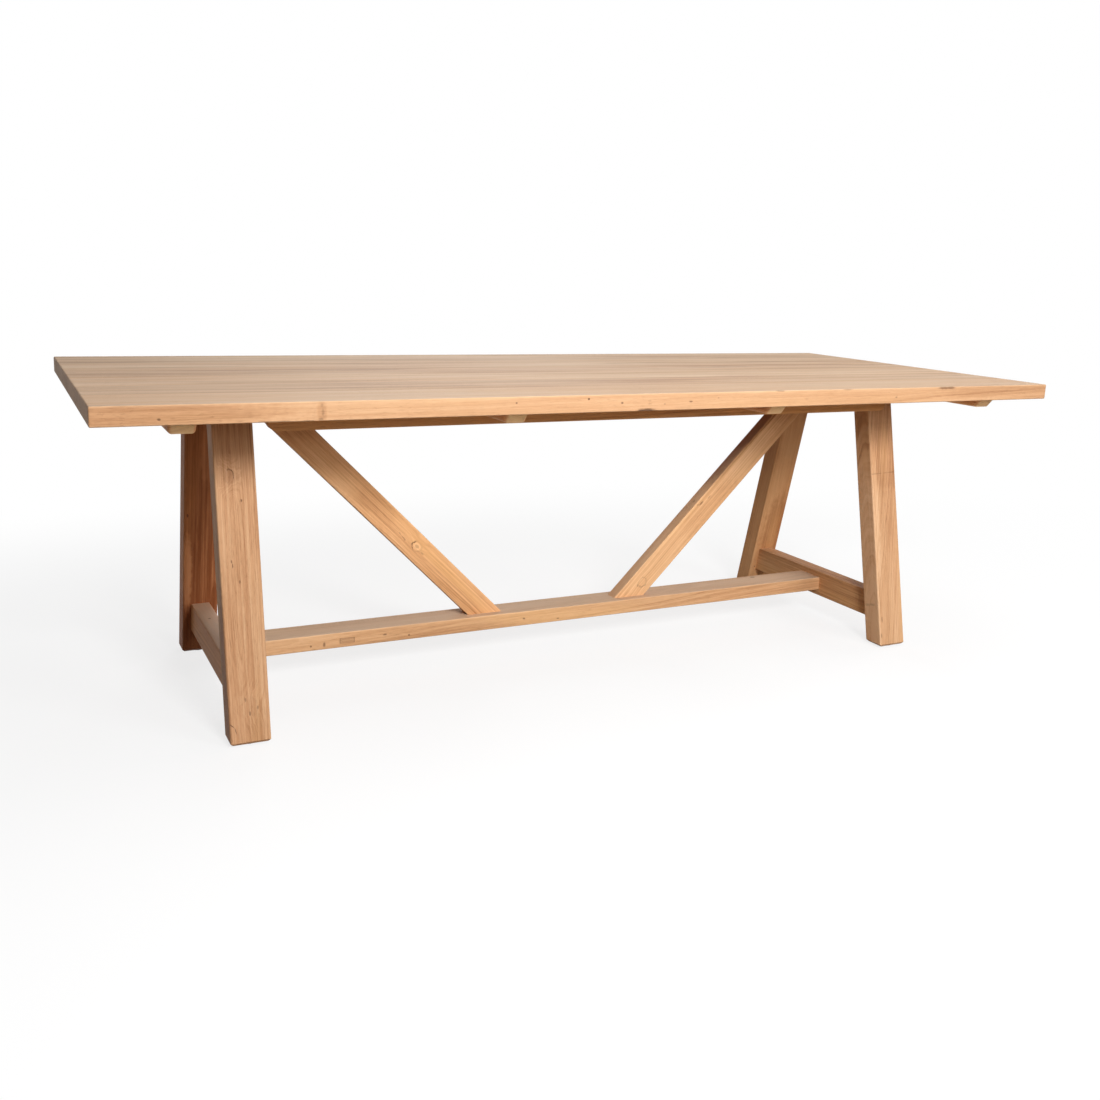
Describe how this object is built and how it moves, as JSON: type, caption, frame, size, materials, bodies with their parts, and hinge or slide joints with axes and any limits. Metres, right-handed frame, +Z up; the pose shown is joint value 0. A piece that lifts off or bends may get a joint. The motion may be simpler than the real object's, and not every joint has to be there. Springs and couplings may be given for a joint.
{
  "type": "garden table",
  "caption": "Long planked wooden garden table on splayed trestle leg frames, tied by a low stretcher with raking braces, for outdoor dining.",
  "frame": {"origin": "on the floor under the centre of the table", "axes": "+X along the table, +Y from the front to the rear, +Z up"},
  "size_m": [2.5, 1, 0.78],
  "materials": {
    "teak_top": "brushed, weathered to a pale greyish tan",
    "teak_frame": "sanded, warm brown, unvarnished",
    "glide_plastic": "moulded black",
    "screw_steel": "plain stainless"
  },
  "bodies": {
    "root": {"plank_1": "teak_top", "plank_2": "teak_top", "plank_3": "teak_top", "plank_4": "teak_top", "plank_5": "teak_top", "plank_6": "teak_top", "plank_7": "teak_top", "tongue_1": "teak_frame", "tongue_2": "teak_frame", "tongue_3": "teak_frame", "tongue_4": "teak_frame", "tongue_5": "teak_frame", "tongue_6": "teak_frame", "batten_1": "teak_frame", "batten_2": "teak_frame", "batten_3": "teak_frame", "batten_4": "teak_frame", "rail_front": "teak_frame", "rail_rear": "teak_frame", "bearer_left": "teak_frame", "bearer_right": "teak_frame", "leg_left_front": "teak_frame", "leg_left_rear": "teak_frame", "leg_right_front": "teak_frame", "leg_right_rear": "teak_frame", "end_stretcher_left": "teak_frame", "end_stretcher_right": "teak_frame", "long_stretcher": "teak_frame", "brace_left": "teak_frame", "brace_right": "teak_frame", "glide_left_front": "glide_plastic", "glide_left_rear": "glide_plastic", "glide_right_front": "glide_plastic", "glide_right_rear": "glide_plastic", "batten_screws": "screw_steel", "rail_screws": "screw_steel", "bearer_screws": "screw_steel"}
  },
  "joints": []
}
